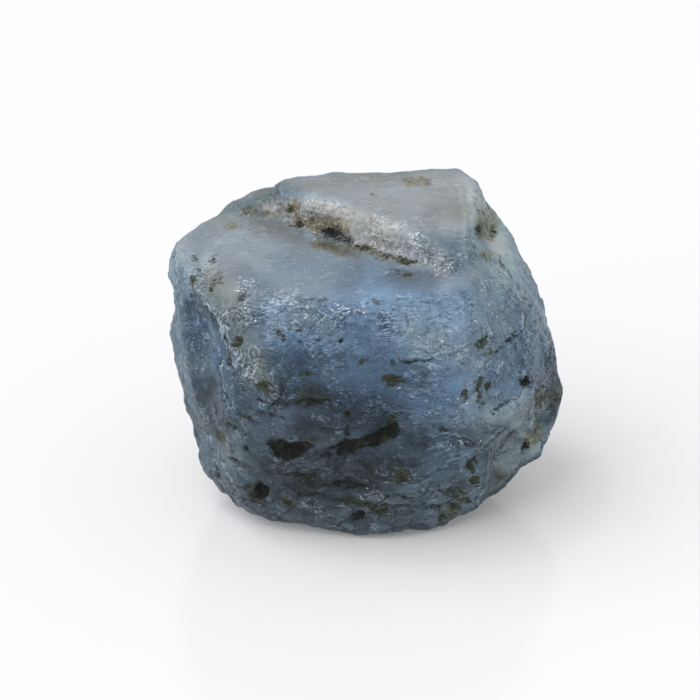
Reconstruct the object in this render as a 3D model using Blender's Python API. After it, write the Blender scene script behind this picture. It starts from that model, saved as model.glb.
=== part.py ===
"""A rough sapphire: one blocky, water-worn corundum crystal, resting on a small flat spot.

The stone is one piece. Its form comes from three convex blocks that grew together: the body, a
raised slab on its top and a low rough ledge behind it. Their corners are in millimetres, in the
stone's own frame: +X to the right, +Y away from the front face, +Z up, the flat spot at z = 0.
Weathering then rounds the arrises, raises growth ledges and sinks the hollows and etch pits.
"""

import math

import bmesh
import bpy
from mathutils import Matrix, Vector, noise

MM = 0.001

# The lower terrace, a basal parting plane: its height on the axis and its rise along X and Y.
TERRACE_HEIGHT = 13.1
TERRACE_RISE_X = 0.05
TERRACE_RISE_Y = 0.03

# The even grain of the surface while it weathers, the passes that round it, and the triangles kept.
GRAIN = 0.25
ROUNDING_PASSES = 5
MOST_TRIANGLES = 8200

BODY_CORNERS = {
    "terrace rim": (
        (-10.0, 2.8, 12.9),
        (-8.9, 1.0, 13.0),
        (-8.1, -1.2, 13.0),
        (-6.3, -3.4, 12.9),
        (-3.1, -4.6, 12.8),
        (-0.6, -4.8, 12.9),
        (2.2, -4.8, 12.6),
        (5.0, -4.4, 12.1),
        (5.2, -3.0, 13.5),
    ),
    "brow and belly": (
        (-7.1, -4.0, 12.1),
        (-6.9, -4.8, 9.7),
        (-4.7, -6.0, 9.7),
        (-1.3, -6.8, 10.1),
        (2.5, -6.8, 10.1),
        (5.0, -6.0, 10.1),
        (7.2, -0.8, 12.2),
        (7.8, -1.6, 10.9),
        (7.8, -2.6, 9.3),
        (8.2, -3.0, 7.1),
        (8.1, -3.0, 5.4),
        (6.3, -5.0, 5.9),
    ),
    "lower front": (
        (-6.4, -5.2, 5.8),
        (-3.8, -6.0, 4.3),
        (-0.8, -6.2, 3.9),
        (3.1, -6.0, 3.9),
        (-6.4, -4.0, 1.4),
    ),
    "left flank": (
        (-10.05, 2.2, 11.7),
        (-10.15, 1.4, 8.4),
        (-9.5, 1.2, 6.3),
        (-8.8, 0.2, 3.4),
        (-8.1, -1.5, 1.4),
        (-6.9, -2.6, 0.9),
    ),
    "right flank": (
        (6.1, 4.8, 13.9),
        (6.9, 4.6, 13.5),
        (7.4, 4.2, 13.1),
        (8.2, 3.4, 11.4),
        (9.0, 2.4, 9.5),
        (9.9, 1.6, 7.5),
        (10.1, 1.0, 5.5),
        (10.1, 0.8, 4.7),
        (9.2, -0.5, 2.75),
        (8.6, -1.2, 2.35),
        (6.5, -2.4, 1.0),
    ),
    "back": (
        (-8.75, 6.1, 12.9),
        (-7.3, 7.3, 13.2),
        (-2.0, 7.9, 12.9),
        (3.2, 7.6, 13.2),
        (6.4, 5.8, 13.0),
        (-8.8, 5.4, 9.4),
        (-5.6, 8.2, 8.8),
        (0.4, 9.0, 8.2),
        (5.4, 8.0, 8.6),
        (8.6, 5.0, 8.0),
        (-7.8, 4.4, 4.2),
        (-4.2, 7.2, 3.4),
        (1.2, 8.0, 3.2),
        (5.6, 6.2, 3.0),
        (8.2, 3.4, 3.8),
    ),
    "foot lip": (
        (-6.1, -3.5, 0.6),
        (-4.7, -4.3, 0.55),
        (-2.8, -4.9, 0.4),
        (-0.8, -5.2, 0.25),
        (1.4, -5.2, 0.3),
        (3.6, -4.6, 0.35),
        (5.0, -3.8, 0.7),
        (6.4, -2.8, 1.2),
        (6.2, 2.0, 0.9),
        (2.8, 5.2, 0.7),
        (-2.4, 5.4, 0.7),
        (-6.2, 2.4, 0.7),
    ),
    "foot": (
        (-3.6, -2.2, -0.3),
        (-1.4, -3.3, -0.3),
        (1.4, -3.4, -0.3),
        (3.5, -2.4, -0.3),
        (4.2, 0.0, -0.3),
        (2.8, 2.6, -0.3),
        (0.0, 3.3, -0.3),
        (-2.8, 2.6, -0.3),
        (-4.2, 0.0, -0.3),
    ),
}

SLAB_CORNERS = (
    (-4.7, 6.0, 15.0),
    (-4.0, 6.3, 15.15),
    (-0.5, 6.3, 15.3),
    (3.0, 6.6, 15.5),
    (4.7, 6.4, 15.6),
    (5.45, 5.7, 15.5),
    (5.8, 4.8, 15.2),
    (6.2, 4.8, 14.5),
    (5.15, 1.4, 14.9),
    (5.0, -0.7, 14.6),
    (4.2, -1.7, 13.5),
    (5.2, -2.9, 13.4),
    (2.7, -0.6, 14.5),
    (1.9, 0.7, 14.7),
    (0.3, 2.1, 14.8),
    (-1.4, 3.3, 14.9),
    (-2.9, 3.9, 14.9),
    (-4.1, 4.8, 14.9),
    (-4.2, 4.6, 12.4),
    (-2.6, 3.0, 12.4),
    (-0.6, 0.9, 12.4),
    (1.5, -1.0, 12.4),
    (3.9, -2.6, 12.6),
    (5.8, -2.6, 12.6),
    (6.9, 4.6, 13.4),
    (5.2, 6.4, 12.6),
    (-4.8, 6.6, 12.6),
)

LEDGE_CORNERS = (
    (-7.1, 6.6, 13.7),
    (-6.6, 6.5, 13.8),
    (-5.9, 6.8, 14.05),
    (-5.1, 7.0, 14.2),
    (-4.7, 5.8, 14.0),
    (-4.2, 6.4, 14.6),
    (-7.7, 6.9, 12.4),
    (-6.6, 5.9, 12.4),
    (-5.3, 5.2, 12.4),
    (-4.0, 4.5, 12.4),
    (-3.4, 7.0, 12.4),
)

# Hollows and knobs: centre, radii along X, Y and Z, and height (below zero where it sinks).
RELIEF = {
    "left waist notch": ((-9.9, 1.9, 10.0), (1.6, 2.6, 1.3), -0.3),
    "dish in the left flank": ((-8.6, -1.6, 9.6), (1.5, 1.9, 2.6), -0.4),
    "dish in the right shoulder": ((6.4, 1.8, 13.6), (1.1, 1.9, 1.1), -0.28),
    "gouge in the right flank": ((9.2, 0.2, 7.8), (1.0, 1.3, 2.8), -0.3),
    "right knob": ((7.1, -3.9, 6.5), (1.7, 1.5, 1.1), 0.3),
    "spall under the knob": ((7.3, -2.9, 3.5), (1.9, 1.9, 1.7), -0.8),
    "step behind the slab": ((1.0, 7.9, 13.4), (4.8, 1.5, 1.2), -0.45),
    "spall low on the back": ((-3.2, 8.0, 5.4), (2.6, 1.8, 2.2), -0.6),
    "knob on the back": ((4.6, 7.6, 6.2), (2.2, 1.8, 1.6), 0.35),
    "pit at the scarp's foot": ((-1.4, 2.1, 13.4), (1.3, 0.8, 0.8), -0.5),
    "wedge pit": ((-3.75, -6.2, 5.1), (1.1, 1.0, 0.55), -0.5),
    "pit by the foot": ((-5.3, -4.9, 2.5), (0.6, 0.9, 0.65), -0.45),
    "pit in the right shoulder": ((6.0, 0.9, 13.7), (0.6, 0.9, 0.6), -0.3),
}

# The seam is a rusty groove that climbs the front: its ends, half its width and its depth.
SEAM_START = Vector((-1.7, -6.4, 5.4))
SEAM_END = Vector((1.8, -6.6, 7.1))
SEAM_HALF_WIDTH = 0.45
SEAM_DEPTH = 0.35

# Growth ledges: their spacing up the sides, their fall along X, the share of each that rises
# and their height.
LEDGE_SPACING = 1.3
LEDGE_FALL = 0.12
LEDGE_RISING = 0.75
LEDGE_HEIGHT = 0.17

# Unevenness: how fast it changes in each millimetre, its height and where it starts.
LEDGE_WANDER = (0.23, 2.2, (0, 0, 0))
LEDGE_WAVER = (0.8, 0.35, (0, 0, 0))
LEDGE_PATCHES = (0.33, 1.0, (7, 3, 1))
BROAD_LUMPS = (0.28, 0.22, (2, 5, 9))
BRUISES = (0.85, 0.13, (0, 0, 0))
SMALL_BRUISES = (1.7, 0.09, (4, 4, 4))


def hull(name, corners):
    """The convex block whose corners these are."""
    mesh = bmesh.new()
    for corner in corners:
        mesh.verts.new(corner)
    made = bmesh.ops.convex_hull(mesh, input=mesh.verts)
    loose = {v for v in made["geom_interior"] + made["geom_unused"] if isinstance(v, bmesh.types.BMVert)}
    bmesh.ops.delete(mesh, geom=list(loose), context="VERTS")
    bmesh.ops.recalc_face_normals(mesh, faces=mesh.faces)
    data = bpy.data.meshes.new(name)
    mesh.to_mesh(data)
    mesh.free()
    block = bpy.data.objects.new(name, data)
    bpy.context.scene.collection.objects.link(block)
    return block


def slice_off(block, point, normal):
    """Cuts away what lies beyond the plane, and closes the cut with one flat face."""
    mesh = bmesh.new()
    mesh.from_mesh(block.data)
    cut = bmesh.ops.bisect_plane(
        mesh,
        geom=mesh.verts[:] + mesh.edges[:] + mesh.faces[:],
        dist=1e-5,
        plane_co=point,
        plane_no=normal,
        clear_outer=True,
    )
    rim = [e for e in cut["geom_cut"] if isinstance(e, bmesh.types.BMEdge)]
    bmesh.ops.contextual_create(mesh, geom=rim)
    bmesh.ops.recalc_face_normals(mesh, faces=mesh.faces)
    mesh.to_mesh(block.data)
    mesh.free()


def applied(stone):
    """Makes the modifiers' result the stone's own mesh."""
    graph = bpy.context.evaluated_depsgraph_get()
    data = bpy.data.meshes.new_from_object(stone.evaluated_get(graph))
    stone.modifiers.clear()
    stone.data = data


def fuse(stone, *others):
    """Joins the blocks in one solid and gives it an even grain."""
    for other in others:
        joined = stone.modifiers.new("join " + other.name, "BOOLEAN")
        joined.operation = "UNION"
        joined.object = other
    even = stone.modifiers.new("even grain", "REMESH")
    even.mode = "VOXEL"
    even.voxel_size = GRAIN
    applied(stone)
    for other in others:
        bpy.data.objects.remove(other)


def fade(value, low, high):
    """0 below low, 1 above high, and smooth between them."""
    share = min(max((value - low) / (high - low), 0.0), 1.0)
    return share * share * (3 - 2 * share)


def uneven(point, kind):
    """The height of one kind of unevenness here."""
    rate, height, start = kind
    return height * noise.noise(point * rate + Vector(start))


def relief_height(point):
    """How far the hollows and knobs move the surface here."""
    height = 0.0
    for centre, radii, highest in RELIEF.values():
        away = sum(((point[i] - centre[i]) / radii[i]) ** 2 for i in range(3))
        height += highest * max(1 - away, 0.0) ** 2
    return height


def seam_depth(point):
    """How deep the rusty seam cuts here."""
    run = SEAM_END - SEAM_START
    share = min(max((point - SEAM_START).dot(run) / run.length_squared, 0.0), 1.0)
    away = (point - SEAM_START.lerp(SEAM_END, share)).length
    return SEAM_DEPTH * (1 - fade(away, 0.0, 2 * SEAM_HALF_WIDTH))


def ledge_height(point, normal):
    """Growth ledges: shallow treads that follow the basal plane round the sides."""
    level = point.z + LEDGE_FALL * point.x + uneven(point, LEDGE_WANDER) + uneven(point, LEDGE_WAVER)
    tread = level / LEDGE_SPACING % 1.0
    rise = min(tread / LEDGE_RISING, (1 - tread) / (1 - LEDGE_RISING))
    patch = fade(uneven(point, LEDGE_PATCHES), -0.15, 0.35)
    steep = 1 - fade(abs(normal.z), 0.45, 0.8)
    return LEDGE_HEIGHT * (rise - 0.5) * patch * steep


def lump_height(point, normal):
    """Broad worn lumps and smaller bruises, faint on the two terraces."""
    flat = fade(normal.z, 0.8, 0.97)
    small = uneven(point, BRUISES) + uneven(point, SMALL_BRUISES)
    return uneven(point, BROAD_LUMPS) * (1 - 0.6 * flat) + small * (1 - 0.85 * flat)


def weather(stone):
    """Rounds the arrises, then moves each point of the surface in or out along its normal."""
    mesh = bmesh.new()
    mesh.from_mesh(stone.data)
    every_way = {"use_axis_x": True, "use_axis_y": True, "use_axis_z": True}
    for _ in range(ROUNDING_PASSES):
        bmesh.ops.smooth_vert(mesh, verts=mesh.verts, factor=0.5, **every_way)
    mesh.normal_update()
    for vert in mesh.verts:
        lift = ledge_height(vert.co, vert.normal) + lump_height(vert.co, vert.normal)
        vert.co += vert.normal * (lift + relief_height(vert.co) - seam_depth(vert.co))
    mesh.to_mesh(stone.data)
    mesh.free()


def thin_out(stone):
    """Keeps as many triangles as the form needs."""
    triangles = sum(len(face.vertices) - 2 for face in stone.data.polygons)
    fewer = stone.modifiers.new("fewer faces", "DECIMATE")
    fewer.ratio = MOST_TRIANGLES / triangles
    fewer.use_collapse_triangulate = True
    applied(stone)


def settle(stone):
    """Grinds the flat spot, centres the stone's box over it and turns millimetres into metres."""
    slice_off(stone, (0, 0, 0), (0, 0, -1))
    points = [vert.co for vert in stone.data.vertices]
    middle = [(min(p[i] for p in points) + max(p[i] for p in points)) / 2 for i in (0, 1)]
    stone.data.transform(Matrix.Scale(MM, 4) @ Matrix.Translation((-middle[0], -middle[1], 0)))


def sapphire_material():
    """Milky grey blue, with a soft lustre."""
    material = bpy.data.materials.new("sapphire")
    material.use_nodes = True
    shader = material.node_tree.nodes["Principled BSDF"]
    shader.inputs["Base Color"].default_value = (0.17, 0.23, 0.31, 1)
    shader.inputs["Roughness"].default_value = 0.42
    shader.inputs["Metallic"].default_value = 0.0
    shader.inputs["IOR"].default_value = 1.77
    return material


def main():
    for old in list(bpy.data.objects):
        bpy.data.objects.remove(old)
    stone = hull("rough_sapphire", [corner for ring in BODY_CORNERS.values() for corner in ring])
    slice_off(stone, (0, 0, TERRACE_HEIGHT), (-TERRACE_RISE_X, -TERRACE_RISE_Y, 1))
    fuse(stone, hull("slab", SLAB_CORNERS), hull("ledge", LEDGE_CORNERS))
    weather(stone)
    thin_out(stone)
    settle(stone)
    stone.data.materials.clear()
    stone.data.materials.append(sapphire_material())
    stone.data.shade_smooth()
    stone.data.set_sharp_from_angle(angle=math.radians(35))


main()
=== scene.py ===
"""The looks of a rough sapphire: worn surface, inclusions and milky blue finish, on a plain floor."""

import math
import random

import bmesh
import bpy
import numpy as np
from bpy.props import FloatProperty, FloatVectorProperty, IntProperty, PointerProperty
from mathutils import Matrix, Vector, noise


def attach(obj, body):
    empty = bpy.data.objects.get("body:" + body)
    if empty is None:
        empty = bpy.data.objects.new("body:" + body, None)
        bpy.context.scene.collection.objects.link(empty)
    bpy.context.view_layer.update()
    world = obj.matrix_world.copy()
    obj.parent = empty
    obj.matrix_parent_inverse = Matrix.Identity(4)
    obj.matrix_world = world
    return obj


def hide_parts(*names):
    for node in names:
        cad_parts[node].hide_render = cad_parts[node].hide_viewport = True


bl_info = {
    "name": "Rough Sapphire",
    "version": (1, 0, 0),
    "blender": (4, 5, 0),
    "location": "3D View > Sidebar > Sapphire",
    "description": "Gives a rough sapphire its worn surface and milky blue finish in a plain studio",
    "category": "Add Mesh",
}

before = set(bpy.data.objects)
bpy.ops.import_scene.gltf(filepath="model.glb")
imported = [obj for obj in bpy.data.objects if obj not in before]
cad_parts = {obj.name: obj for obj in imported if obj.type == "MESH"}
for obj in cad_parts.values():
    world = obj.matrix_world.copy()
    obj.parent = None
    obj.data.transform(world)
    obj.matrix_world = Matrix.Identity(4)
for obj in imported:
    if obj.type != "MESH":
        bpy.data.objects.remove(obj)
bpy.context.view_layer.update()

NODE = "rough_sapphire"
PIECE = "sapphire_stone"
MM = 0.001
MERGE_DISTANCE = 1e-7

# The picture: its side in pixels, its width at the target, and where the camera stands.
# Lengths here are in millimetres.
PICTURE_PIXELS = 700
PICTURE_WIDTH = 35.4
CAMERA_TARGET = Vector((-0.805, -1.015, 8.06))
CAMERA_DISTANCE = 150.0
CAMERA_RISE = math.radians(25)
SENSOR_WIDTH = 36.0

# What the picture shows. A ring and a stroke are rows of pixels. Widths, heights and depths are in
# millimetres as the camera sees them, and leans are in degrees.

# A pit, an olive grain or a stain is a ring, or the pixel of its middle, its width, height and lean.
PITS = {
    "wedge": (
        (266, 439), (280, 440), (290, 443), (302, 442), (316, 446), (302, 455), (287, 461), (277, 457),
        (269, 451),
    ),
    "seam": (
        (326, 449), (339, 445), (350, 440), (362, 438), (372, 434), (385, 427), (395, 423), (400, 426),
        (397, 436), (391, 440), (384, 444), (375, 447), (362, 448), (352, 453), (340, 453),
    ),
    "foot": ((260, 482), (266, 487), (267, 494), (261, 500), (255, 500), (254, 492), (256, 486)),
    "low slot": ((348, 518), (352, 514), (358, 513), (364, 515), (366, 519), (357, 521)),
    "slope": (331, 234, 1.5, 0.5, -13),
    "slope two": (345, 239, 0.75, 0.36, -22),
    "slope three": (332, 230, 0.4, 0.2, 20),
    "slope end": (300, 225, 0.5, 0.2, 20),
    "black speck": (341, 341, 0.25, 0.25, 0),
    "foot chip": (245, 500, 0.4, 0.18, 20),
    "shoulder": (480, 229, 0.3, 0.75, -8),
    "shoulder twin": (493, 231, 0.2, 0.5, 0),
    "green notch": (244, 295, 0.42, 0.8, -35),
    "right nick": (526, 382, 0.4, 0.45, -30),
    "slit": (514, 437, 0.3, 0.25, 30),
    "low right": (526, 449, 0.45, 0.6, -20),
    "flank speck": (536, 414, 0.2, 0.2, 0),
    # Painted shadow: the next two are the narrow shadows along the left crest, drawn as small dark pits.
    "ridge shadow": (212, 316, 0.28, 0.75, 10),
    "low ridge shadow": (231, 357, 0.25, 0.6, 15),
    "dot": (300, 480, 0.15, 0.12, 0),
    "dark low": (337, 484, 0.5, 0.25, 25),
    "left band": (311, 402, 0.6, 0.2, 5),
    "left band two": (276, 405, 0.4, 0.15, 0),
    "wedge side": (247, 447, 0.2, 0.3, 30),
}
# A crack is a stroke and its half width.
CRACKS = {
    "stem": (((347, 415), (348, 430), (346, 440)), 0.12),
    "mid line": (((260, 412), (272, 416), (283, 418)), 0.06),
    "low left": (((285, 475), (298, 474), (312, 476)), 0.07),
    "right of grain": (((386, 496), (400, 495), (413, 497)), 0.06),
    "grain foot": (((364, 503), (374, 506), (384, 505)), 0.06),
    "left stem": (((282, 381), (282, 391), (277, 404)), 0.06),
    "left band": (((258, 400), (272, 405), (284, 404), (296, 402), (312, 401), (330, 400)), 0.07),
    "haze foot": (((400, 360), (416, 362), (426, 361), (432, 358)), 0.05),
    "knob notch": (((492, 412), (498, 408), (506, 403)), 0.05),
    "stain line": (((497, 351), (510, 340), (516, 333)), 0.07),
    "low line": (((299, 495), (312, 493), (325, 494)), 0.08),
    "flake line": (((347, 487), (362, 487), (376, 490)), 0.07),
    "arc": (((338, 456), (346, 453), (353, 456)), 0.06),
    "smear end": (((464, 443), (477, 444)), 0.05),
    "wedge tail": (((311, 448), (321, 456), (331, 452)), 0.05),
    "ridge": (((228, 335), (231, 350), (234, 365), (242, 373)), 0.05),
    "flank line": (((222, 422), (232, 428), (246, 436)), 0.05),
    "low mark": (((233, 459), (240, 470)), 0.08),
    "low mark two": (((215, 465), (219, 477)), 0.06),
    "foot line": (((430, 508), (446, 506), (455, 504)), 0.05),
    "right line": (((423, 504), (425, 509)), 0.06),
    "brow line": (((298, 300), (312, 299), (326, 300)), 0.04),
}
OLIVE_GRAINS = {
    "lens": (
        (377, 380), (385, 376), (395, 374), (401, 377), (410, 382), (402, 384), (390, 385), (380, 382),
    ),
    "smear": ((435, 425), (442, 427), (451, 432), (445, 434), (437, 429)),
    "band": (
        (337, 498), (350, 497), (365, 503), (378, 508), (387, 506), (386, 514), (378, 517), (368, 511),
        (352, 507), (342, 502),
    ),
    "right low": ((466, 464), (472, 462), (478, 456), (475, 468), (471, 475), (468, 470)),
    "foot right": (448, 491, 0.3, 0.25, 30),
    "foot right rim": (461, 498, 0.5, 0.2, -20),
    "foot slope": (455, 508, 0.5, 0.25, 20),
    "slope": (291, 210, 0.22, 0.28, -30),
    "slope nick": (296, 224, 0.5, 0.2, 10),
    "left spot": (238, 341, 0.45, 0.6, 10),
    "brow one": (281, 335, 0.5, 0.25, -50),
    "brow two": (299, 330, 0.4, 0.15, -20),
    "brow three": (301, 342, 0.25, 0.25, 0),
    "brow green": (318, 340, 0.2, 0.2, 0),
    "green": (362, 361, 0.35, 0.3, 0),
    "dash": (307, 375, 0.7, 0.22, 0),
    "slanted": (264, 386, 0.42, 0.95, 45),
    "left low": (221, 437, 0.35, 0.85, 12),
    "left mid": (251, 418, 0.7, 0.22, -25),
    "round": (402, 476, 0.6, 0.8, -15),
    "low grain": (286, 502, 0.85, 0.4, -25),
    "right upper": (482, 343, 0.45, 0.72, -25),
    "right edge": (515, 334, 0.25, 0.3, -20),
    "trio one": (465, 394, 0.28, 0.6, 15),
    "trio two": (479, 385, 0.24, 0.7, 0),
    "trio three": (481, 400, 0.28, 0.7, 8),
    "trio four": (490, 386, 0.35, 0.3, 0),
    "foot right two": (475, 481, 0.6, 0.5, -20),
    "foot right three": (468, 501, 0.35, 0.3, -30),
    "bowl mark": (499, 455, 0.2, 0.35, -10),
    "terrace dot": (407, 273, 0.85, 0.22, -8),
    "slope foot": (405, 260, 1.0, 0.3, -12),
    "slope base": (362, 247, 1.0, 0.22, -22),
    "slope base two": (386, 255, 0.7, 0.16, -18),
    "corner one": (196, 261, 0.2, 0.3, 0),
    "corner two": (214, 259, 0.2, 0.35, -30),
    "corner three": (196, 282, 0.25, 0.5, 15),
    "corner four": (211, 288, 0.25, 0.25, 15),
    "corner five": (214, 281, 0.2, 0.3, 0),
    "corner six": (220, 276, 0.2, 0.5, 10),
    "lip": (441, 517, 0.3, 0.4, 0),
    "left foot speck": (246, 487, 0.35, 0.25, 30),
    "left foot speck two": (244, 499, 0.45, 0.16, 10),
    "left foot rim": (253, 499, 0.3, 0.35, 0),
    "stem top": (347, 413, 0.35, 0.3, 0),
}
STAINS = {
    "flank brown": ((199, 392), (206, 385), (213, 384), (210, 398), (203, 405), (199, 402)),
    "foot slope": ((433, 508), (445, 505), (457, 503), (459, 507), (456, 518), (445, 522), (443, 514)),
    "foot grain": ((451, 488), (462, 488), (466, 495), (458, 499), (451, 496)),
    "bowl brown": (501, 478, 0.5, 0.45, 20),
    "bowl edge": (534, 438, 0.9, 1.3, -35),
    "flank orange": (557, 396, 0.4, 0.7, -10),
    "flank grey": (546, 400, 0.8, 1.2, -20),
    "seam haze": ((385, 424), (393, 413), (401, 410), (400, 418), (396, 424)),
    "belly left": ((296, 388), (310, 384), (330, 388), (331, 400), (312, 406), (298, 404)),
    "belly foot": ((300, 436), (322, 436), (318, 442), (300, 441)),
    "shoulder": ((478, 210), (490, 206), (497, 214), (498, 232), (490, 243), (480, 240), (475, 226)),
    "shoulder low": (486, 256, 0.8, 0.7, 0),
    "top": ((404, 178), (417, 176), (431, 181), (430, 186), (409, 186)),
    "ledge": (251, 211, 1.1, 0.35, 12),
    "ledge two": (233, 226, 0.8, 0.35, 15),
    "ledge three": (270, 214, 0.9, 0.4, -5),
    "slope olive": (
        (284, 208), (290, 203), (299, 200), (298, 209), (302, 220), (303, 227), (296, 226), (291, 214),
    ),
    "slope brown": ((300, 222), (318, 214), (344, 219), (352, 236), (330, 230), (312, 232)),
    # The next two stains are brown marks that also paint the shadow beneath the slope.
    "slope line and shade": (
        (338, 244), (352, 243), (368, 247), (384, 256), (400, 258), (414, 262), (400, 264), (378, 259),
        (352, 250),
    ),
    "terrace brown and shade": (333, 248, 2.2, 0.45, -14),
    "right line": ((484, 350), (492, 348), (494, 355), (488, 360)),
    "left foot": (254, 488, 0.5, 0.9, 0),
}
# A zone is a stroke, its half width, how much lighter it is and how much bluer.
ZONES = {
    "left ridge": (((214, 285), (236, 322), (248, 352), (258, 372)), 0.7, -0.035, -0.6),
    "under knob": (((496, 446), (502, 470)), 0.6, 0.04, -0.1),
    "left ridge foot": (((262, 372), (278, 398)), 0.3, 0.06, -0.4),
    "left shoulder": (((200, 232), (196, 250), (212, 272)), 0.8, -0.05, 0.05),
    "brow": (((286, 318), (340, 314), (378, 328)), 1.0, -0.075, 0.36),
    "brow right": (((372, 296), (415, 302), (455, 309)), 0.9, 0.13, 0.1),
    "front low": (((272, 358), (300, 360), (340, 360)), 0.5, -0.13, 0.0),
    "slope end foot": (((398, 272), (420, 277), (430, 281)), 0.55, -0.08, -0.1),
    "slab foot": (((445, 272), (447, 292)), 0.4, 0.09, -0.25),
    "low green": (((290, 490), (400, 500), (470, 488)), 1.0, 0.0, -0.1),
    "slab": (((431, 212), (431, 236)), 0.4, -0.05, 0.0),
    "slab right": (((428, 180), (454, 204)), 0.6, -0.03, -0.15),
    "flank blue": (((198, 310), (212, 340)), 0.4, -0.03, -0.15),
    "right of lens": (((440, 352), (470, 360)), 0.5, -0.04, 0.0),
    "ledge": (((215, 214), (240, 205), (265, 194)), 0.6, -0.06, -0.3),
    "terrace top": (((262, 189), (305, 187), (350, 176), (405, 174)), 0.4, -0.06, -0.15),
    "haze foot": (((372, 360), (400, 362), (420, 370)), 0.5, -0.09, 0.05),
    "flank foot": (((256, 414), (268, 414)), 0.35, -0.09, 0.1),
    "corner": (((193, 276), (207, 260)), 0.4, 0.1, -0.15),
    "terrace foot left": (((243, 276), (268, 288)), 0.5, -0.11, 0.1),
    "brow left": (((270, 312), (286, 320)), 0.4, 0.1, 0.0),
    "right low": (((470, 402), (490, 408), (515, 390)), 0.5, 0.13, -0.15),
    "front right top": (((436, 386), (456, 388)), 0.4, 0.1, 0.0),
    "foot right low": (((430, 512), (450, 508), (474, 496)), 0.45, 0.12, 0.05),
    "left of stem": (((300, 426), (330, 428)), 0.4, -0.13, 0.15),
    "below seam": (((400, 456), (418, 470)), 0.45, -0.12, 0.0),
    "left foot side": (((256, 476), (270, 484)), 0.3, 0.1, 0.1),
    "shoulder top": (((459, 192), (461, 214)), 0.35, -0.09, 0.0),
    "under rim": (((541, 412), (543, 430)), 0.35, 0.08, 0.0),
    # Painted shade: the next two zones darken the terrace beneath the slope.
    "shade under slope": (((318, 243), (336, 248), (358, 254)), 0.25, -0.12, -0.5),
    "shade at left slope foot": (((258, 220), (275, 228), (296, 236)), 0.5, -0.11, -0.3),
    "bowl right": (((524, 434), (540, 444), (530, 456), (510, 464)), 0.55, 0.18, -0.05),
    "foot right": (((468, 462), (478, 478)), 0.5, 0.13, 0.1),
    "right of seam": (((410, 438), (426, 444)), 0.4, -0.14, 0.0),
    "belly right": (((352, 396), (385, 404), (410, 400)), 0.6, 0.03, 0.35),
    "brow patch": (((259, 303), (257, 326)), 0.4, -0.06, 0.1),
    "brow flake": (((275, 325), (300, 318), (330, 340)), 0.6, 0.01, -0.35),
    "front blue": (((290, 350), (350, 345), (390, 350)), 0.8, 0.0, 0.38),
    "right haze": (((405, 345), (445, 345), (480, 365)), 1.2, 0.085, -0.22),
    "front middle": (((300, 364), (350, 374), (430, 384)), 1.2, -0.065, 0.32),
    "front right": (((425, 400), (455, 408)), 1.0, 0.005, 0.17),
    "right blue": (((500, 360), (503, 390)), 0.7, -0.03, 0.25),
    "right facet": (((485, 290), (500, 330)), 0.9, 0.075, -0.2),
    "knob foot": (((440, 410), (480, 418)), 0.5, 0.06, -0.1),
    "belly": (((285, 392), (335, 404), (385, 412)), 0.9, -0.20, 0.1),
    "belly low": (((275, 440), (340, 445), (385, 440)), 0.9, -0.06, 0.1),
    "belly foot": (((270, 482), (330, 484), (375, 474)), 0.9, -0.15, 0.15),
    "low middle": (((280, 488), (330, 490)), 0.7, 0.0, 0.12),
    "low right": (((415, 450), (450, 455), (430, 480)), 1.1, 0.035, 0.33),
    "pale grain": (((368, 498), (380, 497)), 0.3, 0.1, -0.2),
    "slope top": (((306, 199), (325, 203), (342, 207)), 0.35, 0.09, 0.0),
    "slope silver": (((372, 226), (398, 233), (412, 240)), 0.45, 0.05, 0.1),
    "slope end": (((414, 246), (430, 256), (444, 270)), 0.5, -0.13, 0.15),
    "pale chip": (((434, 446), (438, 446)), 0.25, 0.08, 0.0),
    "left low": (((213, 420), (218, 470)), 1.0, 0.06, 0.0),
    "left edge": (((174, 318), (180, 345), (188, 380)), 0.35, 0.03, -0.2),
    "left edge top": (((177, 246), (180, 290)), 0.5, 0.1, -0.35),
    "shoulder": (((478, 195), (500, 240), (515, 270)), 0.9, 0.2, -0.42),
    "terrace right": (((360, 285), (400, 290), (450, 290)), 0.9, -0.11, 0.32),
    "terrace middle": (((290, 266), (350, 272), (400, 278)), 0.9, -0.07, 0.15),
    "terrace left": (((215, 225), (240, 250)), 1.2, 0.0, -0.06),
    "right rim": (((535, 300), (546, 335)), 0.6, 0.1, -0.25),
    "right rim low": (((558, 354), (559, 385)), 0.35, -0.05, -0.2),
}
BOWL_RING = (
    (507, 428), (529, 431), (546, 438), (558, 454), (540, 480), (514, 504), (486, 514), (479, 504),
    (489, 470), (493, 440),
)
BESIDE_KNOB = ((533, 384), (548, 380), (560, 400), (548, 428), (532, 429))
# A patch is a ring, how soft its edge is, how much lighter it is and how much bluer.
PATCHES = {
    "flank": (
        ((178, 262), (188, 278), (197, 290), (210, 306), (222, 320), (229, 342), (235, 364), (246, 378),
         (262, 398), (244, 420), (222, 440), (205, 430), (190, 385), (182, 340), (178, 305)),
        0.25, -0.115, 0.10,
    ),
    "flank dark": (
        ((184, 300), (202, 310), (222, 340), (230, 368), (214, 372), (196, 345)),
        0.4, 0.05, 0.15,
    ),
    "knob": (
        ((470, 415), (495, 410), (512, 398), (526, 384), (531, 392), (530, 427), (507, 426), (490, 425),
         (480, 424)),
        0.3, 0.15, -0.28,
    ),
    "bowl": (BOWL_RING, 0.2, 0.12, -0.25),
    "beside knob": (BESIDE_KNOB, 0.3, 0.07, -0.25),
    "bowl grey": (
        ((491, 468), (503, 463), (510, 474), (502, 488), (489, 492), (486, 480)),
        0.4, -0.12, 0.05,
    ),
    "slab facet": (((436, 234), (463, 232), (470, 278), (452, 270), (444, 252)), 0.6, -0.13, 0.3),
    # This patch is a brown line that also paints the shade at the foot of the slope.
    "slope line and shade": (
        ((300, 232), (338, 244), (372, 254), (398, 263), (414, 268), (398, 256), (360, 244), (330, 238)),
        0.1, -0.12, 0.0,
    ),
}
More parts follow.
